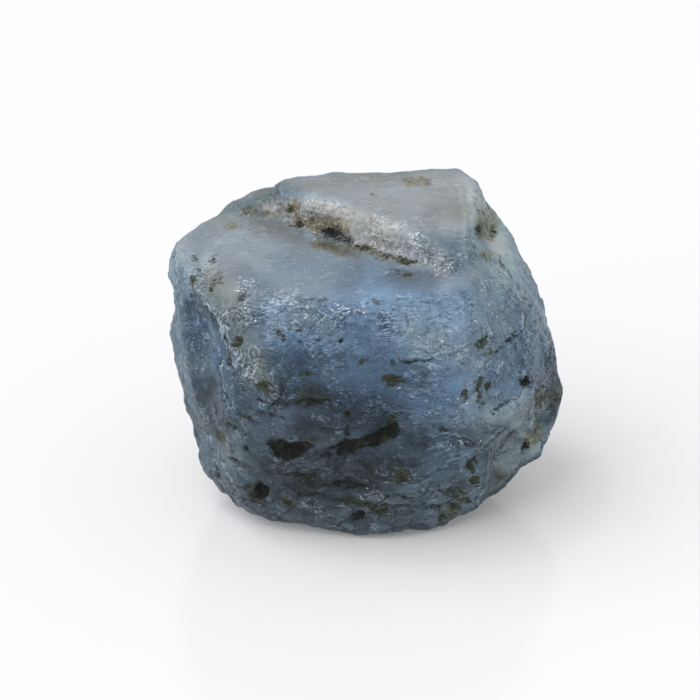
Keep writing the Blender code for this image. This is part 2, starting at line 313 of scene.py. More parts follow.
# A ridge is a stroke, its half width and its height.
RIDGES = {
    "left crest": (
        ((192, 262), (197, 284), (210, 304), (222, 317), (229, 340), (234, 360), (244, 373), (258, 383)),
        0.5, 0.22,
    ),
    "left crest foot": (((258, 383), (268, 390), (277, 397)), 0.3, 0.15),
    "left edge": (((174, 255), (177, 285), (182, 307)), 0.35, 0.12),
    "flank rib": (((186, 300), (200, 330), (214, 365), (222, 395)), 0.22, 0.1),
    "flank rib two": (((184, 330), (192, 365), (200, 400)), 0.2, 0.08),
    "flank rib three": (((196, 296), (212, 332), (221, 362)), 0.15, 0.08),
    "flank low": (((222, 395), (240, 420), (262, 440)), 0.15, 0.07),
    "right crest": (((511, 284), (518, 303), (523, 315), (524, 330), (528, 350)), 0.28, 0.14),
    "right rib": (((532, 327), (542, 335), (549, 347), (553, 362)), 0.15, 0.1),
    "right rib two": (((526, 297), (531, 314), (539, 328)), 0.14, 0.1),
    "knob edge": (((530, 386), (532, 400), (530, 415), (529, 428)), 0.28, 0.2),
    "knob rim": (((470, 416), (481, 425), (490, 426), (507, 426), (520, 427)), 0.3, 0.14),
    "bowl rim": (
        ((507, 427), (494, 439), (490, 452), (491, 464), (487, 477), (482, 490), (478, 503)),
        0.22, 0.14,
    ),
    "brow flake": (((298, 308), (305, 305), (317, 307), (324, 315), (315, 326), (307, 334)), 0.12, 0.06),
    "brow arc": (((336, 322), (350, 312), (372, 310), (395, 318)), 0.12, 0.05),
    "haze foot": (((402, 358), (424, 358), (444, 354), (470, 342)), 0.2, 0.07),
    "belly line": (((300, 412), (340, 404), (392, 400), (420, 394)), 0.15, 0.06),
    "shoulder line": (((500, 258), (509, 273), (515, 290)), 0.15, 0.06),
    "shoulder edge": (((461, 186), (464, 205), (467, 235), (468, 262)), 0.25, 0.08),
    "grain lip": (((364, 495), (375, 491), (384, 493), (387, 500), (380, 505)), 0.12, 0.08),
}
# The ring of the silky slope between the terraces.
SLOPE = (
    (255, 200), (289, 197), (309, 197), (338, 201), (372, 211), (404, 224), (421, 235), (441, 247),
    (453, 264), (446, 277), (424, 271), (398, 264), (372, 254), (355, 249), (338, 242), (315, 235),
    (289, 226), (262, 214),
)
# A place that sparkles is a stroke, its half width and how much it sparkles, which sets its painted glints
# and lowers its roughness.
SPARKLES = {
    "corner": (((243, 283), (247, 318)), 0.35, 1.0),
    "brow": (((266, 292), (300, 305), (330, 318)), 0.5, 0.6),
    "brow right": (((335, 303), (372, 316)), 0.3, 0.6),
    "right": (((489, 298), (493, 312)), 0.25, 1.0),
    "right two": (((473, 327), (479, 318)), 0.25, 1.0),
    "haze": (((410, 325), (445, 335), (460, 322)), 0.5, 0.45),
    "trio": (((455, 400), (468, 404)), 0.25, 1.0),
    "dimple": (((452, 446), (462, 446)), 0.25, 1.0),
    "under lens": (((391, 392), (400, 390)), 0.12, 1.0),
    "right blue": (((500, 366), (506, 360)), 0.2, 0.6),
    "pale grain": (((364, 494), (378, 498)), 0.2, 0.8),
    "slope right": (((418, 250), (440, 262), (446, 272)), 0.4, 0.85),
    "slope top": (((312, 200), (334, 205)), 0.25, 0.9),
    "slope middle": (((372, 222), (400, 230), (420, 236)), 0.4, 0.9),
    "slope ochre": (((355, 240), (378, 248)), 0.25, 0.7),
    "slope pit": (((318, 234), (345, 236)), 0.25, 0.5),
    "arc": (((333, 459), (348, 455)), 0.12, 0.9),
    "left chip": (((220, 362), (224, 366)), 0.15, 1.0),
    "foot": (((300, 503), (316, 506)), 0.4, 0.5),
    "knob foot": (((473, 438), (477, 440)), 0.15, 0.8),
}
# Where the fine texture differs: a stroke, its half width, how much crisper it is and how steep it runs.
CRISP = {
    "brow": (((258, 298), (300, 312), (345, 314), (375, 320)), 0.8, 0.6, 0.0),
    "belly": (((280, 405), (340, 412), (395, 400)), 0.8, 0.4, 0.0),
    "left ridge": (((200, 270), (214, 300), (232, 335), (248, 370), (272, 395)), 0.7, 0.5, 0.9),
    "right rim": (((528, 300), (545, 350), (556, 395)), 0.8, 0.3, 0.8),
    "bowl": (((504, 436), (522, 448), (500, 478)), 0.8, -0.35, 0.3),
    "right": (((490, 290), (500, 330)), 0.8, 0.2, 0.4),
    "left foot": (((216, 410), (225, 460)), 0.8, 0.05, 0.5),
}
# A sharp edge is a stroke, and how much its left side is lit and its right side dark, seen along the stroke.
EDGES = {
    "left crest": (
        ((195, 279), (207, 300), (222, 320), (227, 342), (231, 359), (240, 371), (255, 379)),
        0.8,
    ),
    "left crest two": (((217, 308), (228, 327), (231, 345), (238, 360)), 0.5),
    "left rib": (((202, 335), (212, 347), (221, 367), (225, 392), (235, 409)), 0.7),
    "left rib two": (((214, 381), (224, 400), (235, 416), (245, 430)), 0.6),
    "left rib three": (((190, 300), (200, 320), (208, 336)), 0.5),
    "ridge foot": (((252, 374), (265, 390), (277, 402)), 0.6),
    "left rim": (((176, 250), (178, 280), (184, 306)), 0.5),
    "left bump": (((178, 312), (177, 330), (184, 352)), 0.3),
    "right crest": (((522, 327), (522, 313), (517, 297), (508, 277), (497, 257)), 0.9),
    "right rib": (((553, 360), (547, 345), (536, 334), (523, 328)), 0.5),
    "right rib two": (((553, 352), (546, 336), (539, 322), (530, 305)), 0.4),
    "right rim": (((560, 366), (552, 333), (543, 312), (528, 287), (514, 268)), 0.6),
    "right rib three": (((538, 345), (532, 352), (528, 362)), 0.5),
    "knob side": (((528, 425), (533, 410), (530, 396), (531, 386)), 0.8),
    "knob rim": (((528, 426), (508, 429), (493, 426), (482, 422)), 0.35),
    "knob top": (((493, 411), (505, 404), (517, 397), (529, 380)), -0.6),
    "bowl rim": (((484, 446), (493, 436), (503, 428)), 0.5),
    "bowl side": (((478, 500), (486, 480), (490, 462), (488, 448)), 0.4),
    "stain edge": (((478, 353), (497, 350), (510, 342), (521, 330)), 0.4),
    "shoulder": (((467, 262), (465, 240), (466, 222), (462, 205), (460, 190)), 0.15),
    "slab top": (((424, 233), (440, 229), (462, 231)), 0.12),
    "belly lip": (((274, 440), (292, 441), (308, 443)), 0.35),
    "seam lip": (((346, 441), (362, 436), (385, 425)), 0.3),
    "low flake": (((432, 440), (450, 434), (470, 440)), 0.5),
    "low flake two": (((365, 494), (378, 491), (386, 500)), 0.6),
    "foot flake": (((398, 470), (410, 468), (414, 478)), 0.4),
    "brow flake": (((298, 308), (317, 307), (324, 316), (312, 330)), 0.5),
    "brow arc": (((336, 322), (352, 312), (376, 311), (396, 319)), 0.4),
    "haze": (((402, 359), (424, 359), (444, 354), (468, 343)), 0.4),
}
# A flake that broke away is a ring and its depth, which is below zero where one is left standing.
FLAKES = {
    "bowl": (BOWL_RING, 0.2),
    "right of knob": (BESIDE_KNOB, 0.35),
    "knob": (
        ((484, 414), (497, 409), (512, 398), (526, 386), (531, 392), (530, 427), (507, 426), (490, 425)),
        -0.08,
    ),
    "right blue": (
        ((482, 352), (520, 350), (526, 366), (522, 384), (508, 400), (492, 410), (486, 392)),
        0.12,
    ),
    "brow patch": (((248, 300), (262, 298), (268, 325), (256, 334), (250, 326)), 0.12),
    "brow bowl": (((286, 312), (306, 306), (322, 314), (306, 332), (290, 330)), 0.08),
    "belly step": (((412, 424), (440, 422), (470, 438), (466, 448), (430, 444)), 0.12),
    "low chip": (((330, 498), (362, 506), (384, 512), (376, 520), (340, 512)), 0.14),
    "dimple": (((450, 440), (464, 440), (466, 452), (452, 452)), 0.15),
    "left foot": (((216, 480), (232, 488), (250, 508), (226, 500)), 0.12),
    "flank": (((184, 300), (202, 306), (221, 330), (230, 358), (222, 366), (200, 356), (188, 330)), 0.25),
    "flank low": (((196, 380), (214, 378), (226, 402), (214, 420), (200, 410)), 0.15),
    "right low": (((466, 462), (478, 455), (476, 470), (468, 476)), 0.12),
    "foot right": (((446, 488), (462, 486), (468, 498), (452, 500)), 0.12),
}

# Lengths here are in millimetres too: how far a flake's border reaches, how far from a mark's edge its
# field still changes, and a distance beyond every field. A chip's border is a share of its size, and a
# mark's outline wanders by this many pixels.
FLAKE_EDGE = 0.14
FIELD_REACH = 0.6
FAR = 9.0
CHIP_EDGE = 0.1
WANDER = 2.2

# The finish: the ways that its grain runs, how much longer the grain is along the slope, how far the
# growth steps wave, the least tone, the colour of its dark spots and of the painted shade in its creases,
# step feet and shaded edges, and the height of its relief and the depth of the light under its surface,
# in millimetres.
LEVEL = (1, 0.1, -0.12)
STEEP = (0.25, -0.15, -0.95)
ALONG_SLOPE = (0.77, -0.64, -0.04)
SLOPE_STRETCH = 2.6
STEP_WAVES = 7.0
DARKEST_TONE = 0.12
DARK_SPOTS_AND_SHADE = (0.02, 0.025, 0.025)
BUMP_HEIGHT = 0.06
GLOW_DEPTH = 0.25

# The studio: half the floor's side and the lamps' distance, in metres, and the camera's reach.
FLOOR_REACH = 1.5
LAMP_DISTANCE = 0.2
CLIP_START = 0.01
CLIP_END = 10
WHITE = (1, 1, 1, 1)

# What a property that is a length says besides.
LENGTH = {"unit": "LENGTH", "precision": 6}


class StoneShape(bpy.types.PropertyGroup):
    """How fine the stone's surface is, and how rough."""

    grain: FloatProperty(
        name="Grain", description="Size of the surface's even mesh", default=0.000124, **LENGTH
    )
    rounding: IntProperty(
        name="Rounding", description="Passes that soften the solid's facets", default=9, min=0
    )
    chips: FloatProperty(
        name="Chips", description="Height of the small flat chips", default=0.00012, **LENGTH
    )
    grit: FloatProperty(name="Grit", description="Height of the rounded grain", default=0.00003, **LENGTH)
    ridges: FloatProperty(
        name="Ridges", description="Height of the growth lines", default=0.00004, **LENGTH
    )
    pit_depth: FloatProperty(
        name="Pit depth", description="Depth of the dark pits", default=0.0003, **LENGTH
    )
    crack_depth: FloatProperty(
        name="Crack depth", description="Depth of the thin cracks", default=0.0001, **LENGTH
    )
    grain_depth: FloatProperty(
        name="Grain depth", description="How far the olive grains are sunk", default=0.00007, **LENGTH
    )


class StoneFinish(bpy.types.PropertyGroup):
    """The colours and lustre of the stone."""

    blue: FloatVectorProperty(
        name="Blue", description="Hue of the clear stone", default=(0.36, 0.63, 1.0), subtype="COLOR"
    )
    grey: FloatVectorProperty(
        name="Grey", description="Hue of the clouded stone", default=(0.59, 0.635, 0.65), subtype="COLOR"
    )
    green: FloatVectorProperty(
        name="Green", description="Hue of the clouded sides", default=(0.51, 0.645, 0.665), subtype="COLOR"
    )
    # Silk is the slope's hue: its own greyer colour with painted silky sheen.
    silk: FloatVectorProperty(
        name="Silk", description="Hue of the bare silky slope", default=(0.655, 0.64, 0.60), subtype="COLOR"
    )
    lightness: FloatProperty(name="Lightness", description="Lightness of both hues", default=1.6, min=0)
    olive: FloatVectorProperty(
        name="Olive", description="Mica grains", default=(0.055, 0.062, 0.02), subtype="COLOR"
    )
    # Pit is the dark fill of the pits and cracks: partly dark inclusion, partly painted shade in the
    # recesses.
    pit: FloatVectorProperty(
        name="Pit", description="The inside of pits", default=(0.014, 0.014, 0.011), subtype="COLOR"
    )
    rust: FloatVectorProperty(
        name="Rust", description="Tint of the iron stain", default=(0.52, 0.42, 0.26), subtype="COLOR"
    )
    ochre: FloatVectorProperty(
        name="Ochre", description="Tint of the lighter grains in the stain",
        default=(0.95, 0.85, 0.62), subtype="COLOR",
    )
    # Silver is the colour of the painted glints, and of the painted sheen on the slope's pale threads.
    silver: FloatVectorProperty(
        name="Silver", description="Bright flecks of silk", default=(0.78, 0.80, 0.83), subtype="COLOR"
    )
    roughness: FloatProperty(
        name="Roughness", description="Roughness of worn stone", default=0.4, min=0, max=1
    )
    ior: FloatProperty(name="IOR", description="Refraction of the worn surface", default=1.5, min=1)
    # Pale and chalk also colour the painted highlights of the fine texture: thread ridges, step lips and lit
    # edges.
    pale: FloatVectorProperty(
        name="Pale", description="Thin threads on the clear stone",
        default=(0.40, 0.54, 0.71), subtype="COLOR",
    )
    chalk: FloatVectorProperty(
        name="Chalk", description="Thin threads on the clouded stone",
        default=(0.53, 0.58, 0.60), subtype="COLOR",
    )
    lustre: FloatProperty(
        name="Lustre", description="Strength of the surface gloss", default=0.2, min=0, max=1
    )
    milkiness: FloatProperty(
        name="Milkiness", description="Light that enters the stone", default=0.3, min=0, max=1
    )
    # Glint is how strongly the painted glints show in the colour.
    glint: FloatProperty(
        name="Glint", description="How bright the silk flecks are", default=0.8, min=0, max=1
    )


class Studio(bpy.types.PropertyGroup):
    """Floor and lights."""

    floor: FloatVectorProperty(
        name="Floor", description="Floor colour", default=(0.76, 0.752, 0.767), subtype="COLOR"
    )
    glow: FloatProperty(
        name="Floor glow", description="Light that the white floor passes from below", default=0.12
    )
    key: FloatProperty(name="Key light", description="Strength of the soft light from above", default=1.7)
    spark: FloatProperty(name="Spark lights", description="Strength of the two small lights", default=0.15)
    fill: FloatProperty(name="Fill light", description="Strength of the light from all round", default=0.72)


def camera_place():
    """Where the camera stands, in millimetres."""
    return CAMERA_TARGET + CAMERA_DISTANCE * Vector((0, -math.cos(CAMERA_RISE), math.sin(CAMERA_RISE)))


def seen_pixels(points):
    """The pixels where the camera sees these points, which are in millimetres."""
    forward = np.array((0, math.cos(CAMERA_RISE), -math.sin(CAMERA_RISE)))
    upward = np.array((0, math.sin(CAMERA_RISE), math.cos(CAMERA_RISE)))
    away = points - np.array(camera_place())
    scale = CAMERA_DISTANCE * PICTURE_PIXELS / PICTURE_WIDTH / (away @ forward)
    middle = PICTURE_PIXELS / 2
    return np.stack((middle + away[:, 0] * scale, middle - (away @ upward) * scale), axis=1)


def fade(value, low, high):
    """0 below low, 1 above high, and smooth between them."""
    share = np.clip((value - low) / (high - low), 0.0, 1.0)
    return share * share * (3 - 2 * share)


def even_copy(node, grain):
    """A copy of the solid with its doubles merged and a fine even mesh."""
    mesh = bmesh.new()
    mesh.from_mesh(node.data)
    bmesh.ops.remove_doubles(mesh, verts=mesh.verts, dist=MERGE_DISTANCE)
    data = bpy.data.meshes.new(PIECE)
    mesh.to_mesh(data)
    mesh.free()
    stone = bpy.data.objects.new(PIECE, data)
    bpy.context.scene.collection.objects.link(stone)
    even = stone.modifiers.new("even grain", "REMESH")
    even.mode = "VOXEL"
    even.voxel_size = grain
    graph = bpy.context.evaluated_depsgraph_get()
    stone.data = bpy.data.meshes.new_from_object(stone.evaluated_get(graph))
    stone.modifiers.clear()
    return stone


def mark_field(pixels, marks):
    """How far each pixel lies inside the nearest mark of one kind, in millimetres, and below zero outside."""
    field = np.full(len(pixels), -FAR)
    for mark in marks.values():
        if isinstance(mark[0], tuple):
            inside = inside_ring(pixels, mark)
        else:
            across, down, width, height, lean = mark
            away = (pixels - (across, down)) * (PICTURE_WIDTH / PICTURE_PIXELS)
            turn = math.radians(lean)
            along = away[:, 0] * math.cos(turn) - away[:, 1] * math.sin(turn)
            over = away[:, 0] * math.sin(turn) + away[:, 1] * math.cos(turn)
            inside = (1 - np.hypot(along / (width / 2), over / (height / 2))) * min(width, height) / 2
        field = np.maximum(field, inside)
    return field


def stroke_side(pixels, stroke):
    """How far each pixel lies to the left of a stroke, in millimetres, and below zero to its right."""
    nearest = np.full(len(pixels), 1e9)
    side = np.ones(len(pixels))
    for start, end in zip(stroke, stroke[1:]):
        run = np.array(end, float) - start
        away = pixels - start
        share = np.clip(away @ run / (run @ run), 0, 1)
        distance = np.linalg.norm(away - share[:, None] * run, axis=1)
        turned = np.where(run[1] * away[:, 0] < run[0] * away[:, 1], -1.0, 1.0)
        side = np.where(distance < nearest, turned, side)
        nearest = np.minimum(nearest, distance)
    return side * nearest * (PICTURE_WIDTH / PICTURE_PIXELS)


def stroke_distance(pixels, stroke):
    """How far the camera sees each pixel from a stroke, in millimetres."""
    return np.abs(stroke_side(pixels, stroke))


def inside_ring(pixels, ring):
    """How far each pixel lies inside a ring, in millimetres, and below zero outside it."""
    crossings = np.zeros(len(pixels), int)
    closed = (*ring, ring[0])
    for (x0, y0), (x1, y1) in zip(closed, closed[1:]):
        spans = (y0 > pixels[:, 1]) != (y1 > pixels[:, 1])
        crossings += spans & (pixels[:, 0] < x0 + (pixels[:, 1] - y0) * (x1 - x0) / ((y1 - y0) or 1e-9))
    side = np.where(crossings % 2 == 1, 1.0, -1.0)
    return side * stroke_distance(pixels, closed)


def noise_at(points, size, seed):
    """Smooth noise from -1 to 1 with lumps of this size, in millimetres."""
    start = Vector((seed, 2 * seed, 3 * seed))
    return np.array([noise.noise(Vector(p) / size + start) for p in points])


def chips_at(points, size, seed):
    """Relief of small flat chips, each with a tilt of its own, from about -0.5 to 0.5."""
    start = Vector((seed, 3 * seed, 5 * seed))
    heights = np.empty(len(points))
    for index, point in enumerate(points):
        spot = Vector(point) / size + start
        distances, centres = noise.voronoi(spot)
        first, second = (
            (spot - centre).dot(noise.cell_vector(centre * 17.0)) for centre in centres[:2]
        )
        share = min(1.0, (distances[1] - distances[0]) / CHIP_EDGE)
        heights[index] = first * (0.5 + 0.5 * share) + second * (0.5 - 0.5 * share)
    return heights


def ripples(level, spacing):
    """Straight-sided ripples from 0 to 1, this far apart in millimetres."""
    return np.abs((level / spacing) % 1.0 - 0.5) * 2


class Surface:
    """The stone's points in millimetres, with what the camera sees of them."""

    def __init__(self, stone):
        self.mesh = stone.data
        self.read()
        self.round_terrace()
        self.coarse = noise_at(self.points, size=0.75, seed=3)
        self.fine = noise_at(self.points, size=0.3, seed=5)
        self.pixels = seen_pixels(self.points)
        across = self.fine + noise_at(self.points, size=0.7, seed=11)
        self.pixels += WANDER * np.stack((across, self.coarse - self.fine), axis=1)
        towards = np.array(camera_place()) - self.points
        towards /= np.linalg.norm(towards, axis=1)[:, None]
        self.towards = (self.normals * towards).sum(1)
        self.facing = fade(self.towards, 0.02, 0.15)
        self.flat = self.softened(fade(self.normals[:, 2], 0.75, 0.97), 8)
        self.flank = fade(np.abs(self.normals[:, 0]), 0.45, 0.75)
        self.slope = self.facing * fade(inside_ring(self.pixels, SLOPE), -0.1, 0.25)

    def read(self):
        """Takes the points and normals from the mesh."""
        count = len(self.mesh.vertices)
        points = np.empty(count * 3)
        normals = np.empty(count * 3)
        self.mesh.vertices.foreach_get("co", points)
        self.mesh.vertex_normals.foreach_get("vector", normals)
        self.points = points.reshape(-1, 3) / MM
        self.normals = normals.reshape(-1, 3)

    def write(self):
        """Gives the mesh the points."""
        self.mesh.vertices.foreach_set("co", (self.points * MM).ravel())
        self.mesh.update()

    def round_terrace(self):
        """Rounds the long edge where the lower terrace turns down to the front."""
        height = self.points[:, 2]
        share = fade(self.normals[:, 2], 0.2, 0.6) * fade(height, 8.5, 9.5) * (1 - fade(height, 12.6, 13.2))
        share *= 1 - fade(inside_ring(seen_pixels(self.points), SLOPE), -0.9, -0.2)
        share = self.softened(share, 10)
        rounded = np.stack([self.softened(column, 60) for column in self.points.T], axis=1)
        self.points += share[:, None] * (rounded - self.points)
        self.write()
        self.read()

    def move(self, heights):
        """Moves each point out along its normal by its height, in millimetres."""
        self.points += self.normals * heights[:, None]
        self.points[:, 2] = np.maximum(self.points[:, 2], 0)
        self.write()

    def keep(self, name, values):
        """Keeps a value of each point, for the finish to read."""
        attribute = self.mesh.attributes.new(name, "FLOAT", "POINT")
        attribute.data.foreach_set("value", values.astype(np.float32))

    def keep_near(self, name, field):
        """Keeps a field of marks, cut off at its reach."""
        self.keep(name, np.clip(field, -FIELD_REACH, FIELD_REACH))

    def softened(self, values, passes):
        """The values after each point has taken on some of its neighbours' this many times."""
        ends = np.empty(2 * len(self.mesh.edges), np.int32)
        self.mesh.edges.foreach_get("vertices", ends)
        first, second = ends[::2], ends[1::2]
        count = len(self.points)
        shares = np.bincount(ends, minlength=count)
        for _ in range(passes):
            sums = np.bincount(first, values[second], count) + np.bincount(second, values[first], count)
            values = 0.3 * values + 0.7 * sums / shares
        return values

    def marks(self, marks):
        """How far each point that the camera sees lies inside the nearest of these marks, in millimetres."""
        return np.where(self.facing > 0, mark_field(self.pixels, marks), -FAR)

    def unseen_marks(self, count, seed, smallest, largest):
        """Like marks, for marks that are spread by chance over the sides that the picture doesn't show."""
        chance = random.Random(seed)
        height = self.points[:, 2]
        hidden = np.flatnonzero((self.towards < -0.25) & (height > 0.8) & (height < 12.5))
        wander = 0.4 * np.stack((self.coarse, self.fine, -self.coarse), axis=1)
        field = np.full(len(self.points), -FAR)
        for _ in range(count):
            middle = self.points[hidden[chance.randrange(len(hidden))]]
            size = chance.uniform(smallest, largest)
            flatter = chance.uniform(1.0, 2.6)
            away = np.linalg.norm((self.points + wander - middle) * (1, 1, flatter), axis=1)
            field = np.maximum(field, size - away)
        return field

    def stroke(self, stroke, half_width):
        """1 on a stroke, falling to 0 at its half width."""
        return self.facing * (1 - fade(stroke_distance(self.pixels, stroke), 0.0, half_width))

    def cracks(self, cracks):
        """How far each point lies inside a crack, in millimetres, and below zero outside."""
        field = np.full(len(self.points), -FAR)
        for stroke, half_width in cracks.values():
            field = np.maximum(field, half_width - stroke_distance(self.pixels, stroke))
        return np.where(self.facing > 0, field, -FAR)


def soften_facets(stone, passes):
    """Softens the solid's facets."""
    mesh = bmesh.new()
    mesh.from_mesh(stone.data)
    every_way = {"use_axis_x": True, "use_axis_y": True, "use_axis_z": True}
    for _ in range(passes):
        bmesh.ops.smooth_vert(mesh, verts=mesh.verts, factor=0.5, **every_way)
    mesh.to_mesh(stone.data)
    mesh.free()


def chip_heights(surface, shape):
    """Heights of chips and grit, rougher low down, on the flanks and on the slope, and broad where unseen."""
    points = surface.points
    low = 1 - fade(points[:, 2], 3.0, 9.0)
    worn = (1 - surface.flat) * (0.55 + 0.22 * low + 0.35 * surface.flank)
    rough = 0.10 + 0.9 * worn + 0.5 * surface.slope
    chips = chips_at(points, size=1.5, seed=13) + 0.6 * chips_at(points, size=0.65, seed=17)
    unseen = fade(-surface.towards, 0.1, 0.5)
    chips += 2.2 * unseen * chips_at(points, size=3.4, seed=29)
    grit = surface.coarse + 0.8 * surface.fine
    return rough * (shape.chips * chips + shape.grit * grit) / MM


def line_heights(surface, shape):
    """Heights of the growth lines, and of the silky lines on the slope."""
    x, y, z = surface.points.T
    level = np.where(surface.flank > 0.5, 0.9 * x - 0.5 * y + 0.25 * z, z)
    level = level + 0.12 * x + 0.5 * noise_at(surface.points, size=2.5, seed=7) + 0.15 * surface.coarse
    shown = (1 - surface.flat) * fade(noise_at(surface.points, size=1.6, seed=9), -0.4, 0.4)
    growth = shown * (ripples(level, spacing=0.5) - 0.5)
    across_slope = 0.5 * x + 0.8 * y + 0.9 * z + 0.12 * surface.coarse
    silk = 1.6 * surface.slope * (ripples(across_slope, spacing=0.36) - 0.5)
    return shape.ridges * (growth + silk) / MM


def break_heights(surface):
    """Heights of the sharp ridges, less the depths of the flakes that broke away."""
    heights = np.zeros(len(surface.points))
    for ring, depth in FLAKES.values():
        inside = inside_ring(surface.pixels, ring)
        heights -= depth * surface.facing * fade(inside, -FLAKE_EDGE / 2, FLAKE_EDGE)
    for stroke, half_width, height in RIDGES.values():
        heights += height * surface.stroke(stroke, half_width)
    return heights


def weather(stone, shape):
    """Softens the solid, then gives the surface its chips, lines, ridges, flakes, pits and grains."""
    soften_facets(stone, shape.rounding)
    surface = Surface(stone)
    resting = fade(surface.points[:, 2], 0.0, 0.35)
    unseen_pit = surface.unseen_marks(count=30, seed=5, smallest=0.08, largest=0.4)
    unseen_olive = surface.unseen_marks(count=60, seed=7, smallest=0.12, largest=0.42)
    pit = np.maximum(surface.marks(PITS), unseen_pit)
    crack = surface.cracks(CRACKS)
    olive = np.maximum(surface.marks(OLIVE_GRAINS), unseen_olive)
    heights = chip_heights(surface, shape) + line_heights(surface, shape) + break_heights(surface)
    heights -= shape.pit_depth / MM * fade(pit, -0.08, 0.22)
    heights -= shape.crack_depth / MM * fade(crack, -0.1, 0.08)
    heights -= shape.grain_depth / MM * fade(olive, -0.06, 0.08)
    surface.move(heights * resting)
    surface.slope = surface.softened(surface.slope, 4)
    pit = np.maximum(pit, crack)
    paint_body(surface, pit, olive)
    paint_texture(surface)
    paint_edges(surface)
    unseen_stain = surface.unseen_marks(count=26, seed=9, smallest=0.3, largest=0.9)
    surface.keep_near("stain", np.maximum(surface.marks(STAINS), unseen_stain))
    surface.keep_near("pit", pit)
    surface.keep_near("olive", olive)


def paint_body(surface, pit, olive):
    """Keeps how light and how blue the body is, with painted sheen on the slope and painted shade beneath it,
    and where it is flat, bare or sparkling.
    """
    height = surface.points[:, 2]
    level = surface.softened(fade(surface.normals[:, 2], 0.35, 1.0), 80)
    upper = level * fade(height, 12.6, 14.2)
    hidden = 1 - surface.facing
    tone = 0.325 + 0.12 * fade(height, 4.0, 10.0) + 0.10 * level
    blueness = 0.38 + 0.36 * fade(height, 5.0, 9.5) - 0.44 * level - 0.24 * upper
    tone -= 0.03 * fade(pit, -0.2, 0.0) + 0.02 * fade(olive, -0.15, 0.0)
    tone += 0.16 * hidden * noise_at(surface.points, size=3.6, seed=21)
    blueness += 0.6 * hidden * noise_at(surface.points, size=3.0, seed=23)
    for stroke, half_width, lighter, bluer in ZONES.values():
        share = surface.stroke(stroke, 2 * half_width)
        tone += lighter * share
        blueness += bluer * share
    for ring, softness, lighter, bluer in PATCHES.values():
        share = surface.facing * fade(inside_ring(surface.pixels, ring), -softness / 2, softness)
        tone += lighter * share
        blueness += bluer * share
    # Painted sheen: the silky slope is made lighter in colour and given some painted glints.
    tone += 0.115 * surface.slope
    sparkle = 0.2 * surface.slope
    for stroke, half_width, strength in SPARKLES.values():
        sparkle = np.maximum(sparkle, strength * surface.stroke(stroke, 2 * half_width))
    surface.keep("tone", surface.softened(tone, 3))
    surface.keep("blueness", np.clip(surface.softened(blueness, 3), 0, 1))
    surface.keep("sparkle", sparkle)
    surface.keep("slope", surface.slope)
    surface.keep("bare", surface.slope * (1 - 0.5 * fade(surface.pixels[:, 0], 375, 440)))
    surface.keep("flat", surface.flat)


def paint_texture(surface):
    """Keeps how crisp and how steep the fine texture is, and where it is chipped."""
    crisp = 0.8 + 0.08 * surface.flank + 0.1 * surface.slope - 0.33 * surface.flat
    steep = surface.flank
    for stroke, half_width, strength, turned in CRISP.values():
        share = surface.stroke(stroke, 2 * half_width)
        crisp += strength * share
        steep = np.maximum(steep, turned * share)
    low = 1 - fade(surface.points[:, 2], 3.0, 7.5)
    chipped = (1 - surface.flat) * (0.25 + 0.75 * low)
    for name, field in (("crisp", crisp), ("steep", steep), ("chipped", chipped)):
        surface.keep(name, surface.softened(field, 3))


def paint_edges(surface):
    """Keeps how far each point lies to the left of the nearest sharp edge, and how strong the edge is."""
    slant = np.sqrt(np.clip(surface.towards, 0.25, 1.0))
    side = np.full(len(surface.points), FAR)
    edge = np.zeros(len(surface.points))
    for stroke, strength in EDGES.values():
        away = stroke_side(surface.pixels, stroke) / slant
        nearer = np.abs(away) < np.abs(side)
        side = np.where(nearer, away, side)
        edge = np.where(nearer, strength, edge)
    surface.keep_near("side", side)
    surface.keep("edge", edge * surface.facing * (1 - fade(np.abs(side), 0.2, 0.4)))


